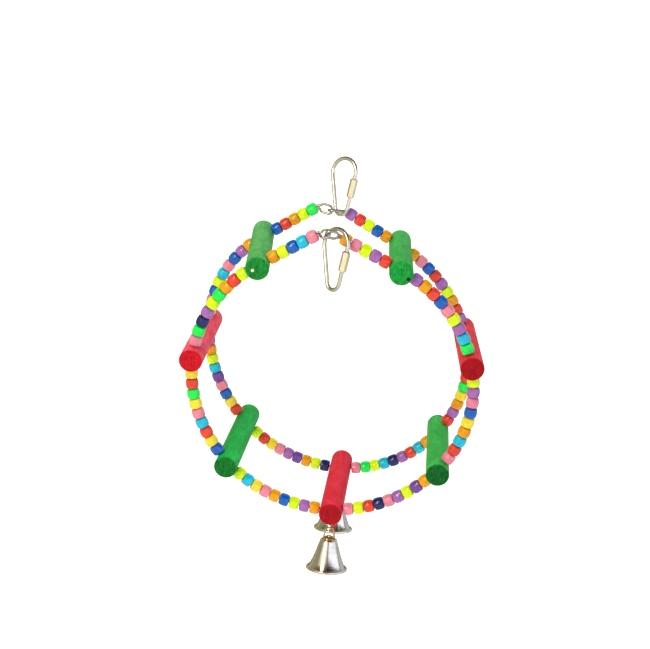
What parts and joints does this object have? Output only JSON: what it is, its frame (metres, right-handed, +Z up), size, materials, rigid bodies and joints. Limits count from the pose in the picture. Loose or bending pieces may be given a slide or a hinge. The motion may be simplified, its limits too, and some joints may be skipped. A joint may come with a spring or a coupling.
{
  "type": "bird swing",
  "caption": "Hanging ring swing for a cage bird: beaded wire hoops tied by round dowel perches, with quick links at the top and bells under the lowest perch.",
  "frame": {"origin": "inside of the rear quick link's bow, where it bears on the bar that holds the swing", "axes": "+X to the right seen from the front, +Y to the back, +Z up against gravity"},
  "size_m": [0.2062, 0.1373, 0.2893],
  "materials": {
    "wire": "bright drawn wire, slightly dull",
    "link_plate": "nickel plate, glossy",
    "sleeve_plate": "yellowish zinc plate, glossy",
    "bell_plate": "nickel plate, polished",
    "bell_copper": "thinly plated copper, glossy",
    "wood_green": "dyed hardwood, open grain, satin",
    "wood_red": "dyed hardwood, open grain, satin",
    "bead_pink": "moulded acrylic, slightly translucent, glossy",
    "bead_cyan": "moulded acrylic, slightly translucent, glossy",
    "bead_blue": "moulded acrylic, slightly translucent, glossy",
    "bead_navy": "moulded acrylic, slightly translucent, glossy",
    "bead_lime": "moulded acrylic, slightly translucent, glossy",
    "bead_yellow": "moulded acrylic, slightly translucent, glossy",
    "bead_orange": "moulded acrylic, slightly translucent, glossy",
    "bead_red": "moulded acrylic, slightly translucent, glossy",
    "bead_green": "moulded acrylic, slightly translucent, glossy",
    "bead_violet": "moulded acrylic, slightly translucent, glossy",
    "bead_purple": "moulded acrylic, slightly translucent, glossy"
  },
  "bodies": {
    "rear_link": {"rear_link": "link_plate"},
    "rear_sleeve": {"rear_sleeve": "sleeve_plate"},
    "wheel": {"front_hoop_wire": "wire", "rear_hoop_wire": "wire", "perch_bottom": "wood_red", "perch_lower_left": "wood_green", "perch_left": "wood_red", "perch_upper_left": "wood_green", "perch_lower_right": "wood_green", "perch_right": "wood_red", "perch_upper_right": "wood_green", "front_beads_pink": "bead_pink", "front_beads_cyan": "bead_cyan", "front_beads_blue": "bead_blue", "front_beads_navy": "bead_navy", "front_beads_lime": "bead_lime", "front_beads_yellow": "bead_yellow", "front_beads_orange": "bead_orange", "front_beads_red": "bead_red", "front_beads_green": "bead_green", "front_beads_violet": "bead_violet", "front_beads_purple": "bead_purple", "rear_beads_pink": "bead_pink", "rear_beads_cyan": "bead_cyan", "rear_beads_blue": "bead_blue", "rear_beads_navy": "bead_navy", "rear_beads_lime": "bead_lime", "rear_beads_yellow": "bead_yellow", "rear_beads_orange": "bead_orange", "rear_beads_red": "bead_red", "rear_beads_green": "bead_green", "rear_beads_violet": "bead_violet", "rear_beads_purple": "bead_purple", "front_bell_staple": "wire", "rear_bell_staple": "wire"},
    "front_link": {"front_link": "link_plate"},
    "front_sleeve": {"front_sleeve": "sleeve_plate"},
    "front_bell_ring": {"front_bell_ring": "bell_plate"},
    "front_bell": {"front_bell_bail": "bell_plate", "front_bell_collar": "bell_copper", "front_bell_shell": "bell_plate", "front_bell_rivet": "bell_plate"},
    "front_bell_clapper": {"front_bell_clapper": "bell_plate"},
    "rear_bell_ring": {"rear_bell_ring": "bell_plate"},
    "rear_bell": {"rear_bell_bail": "bell_plate", "rear_bell_collar": "bell_copper", "rear_bell_shell": "bell_plate", "rear_bell_rivet": "bell_plate"},
    "rear_bell_clapper": {"rear_bell_clapper": "bell_plate"}
  },
  "joints": [
    {"name": "rear_sleeve_screw", "type": "slide", "parent": "rear_link", "child": "rear_sleeve", "axis": [-0.1659, 0.0997, -0.9811], "range_m": [0, 0.0078]},
    {"name": "wheel_swing", "type": "hinge", "parent": "rear_link", "child": "wheel", "pos_m": [0, 0, -0.0357], "axis": [0.9837, 0.1784, 0.0224], "range_deg": [-30, 14]},
    {"name": "front_link_swing", "type": "hinge", "parent": "wheel", "child": "front_link", "pos_m": [0.00324, -0.06699, -0.05196], "axis": [0.9478, 0.2927, -0.1263], "range_deg": [-8, 28]},
    {"name": "front_sleeve_screw", "type": "slide", "parent": "front_link", "child": "front_sleeve", "axis": [-0.1585, 0.111, -0.9811], "range_m": [0, 0.0078]},
    {"name": "front_bell_ring_swing", "type": "hinge", "parent": "wheel", "child": "front_bell_ring", "pos_m": [0.0108, -0.02137, -0.25421], "axis": [0.9981, -0.0134, 0.0596], "range_deg": [-35, 35]},
    {"name": "front_bell_sway", "type": "hinge", "parent": "front_bell_ring", "child": "front_bell", "pos_m": [0.0108, -0.02137, -0.25846], "axis": [0, 1, 0], "range_deg": [-35, 35]},
    {"name": "front_bell_clapper_swing", "type": "hinge", "parent": "front_bell", "child": "front_bell_clapper", "pos_m": [0.0108, -0.02137, -0.2695], "axis": [1, 0, 0], "range_deg": [-25, 25]},
    {"name": "rear_bell_ring_swing", "type": "hinge", "parent": "wheel", "child": "rear_bell_ring", "pos_m": [0.01055, 0.03706, -0.24054], "axis": [0.9981, -0.0134, 0.0596], "range_deg": [-35, 35]},
    {"name": "rear_bell_sway", "type": "hinge", "parent": "rear_bell_ring", "child": "rear_bell", "pos_m": [0.01055, 0.03706, -0.24479], "axis": [0, 1, 0], "range_deg": [-35, 35]},
    {"name": "rear_bell_clapper_swing", "type": "hinge", "parent": "rear_bell", "child": "rear_bell_clapper", "pos_m": [0.01055, 0.03706, -0.25584], "axis": [1, 0, 0], "range_deg": [-25, 25]}
  ]
}
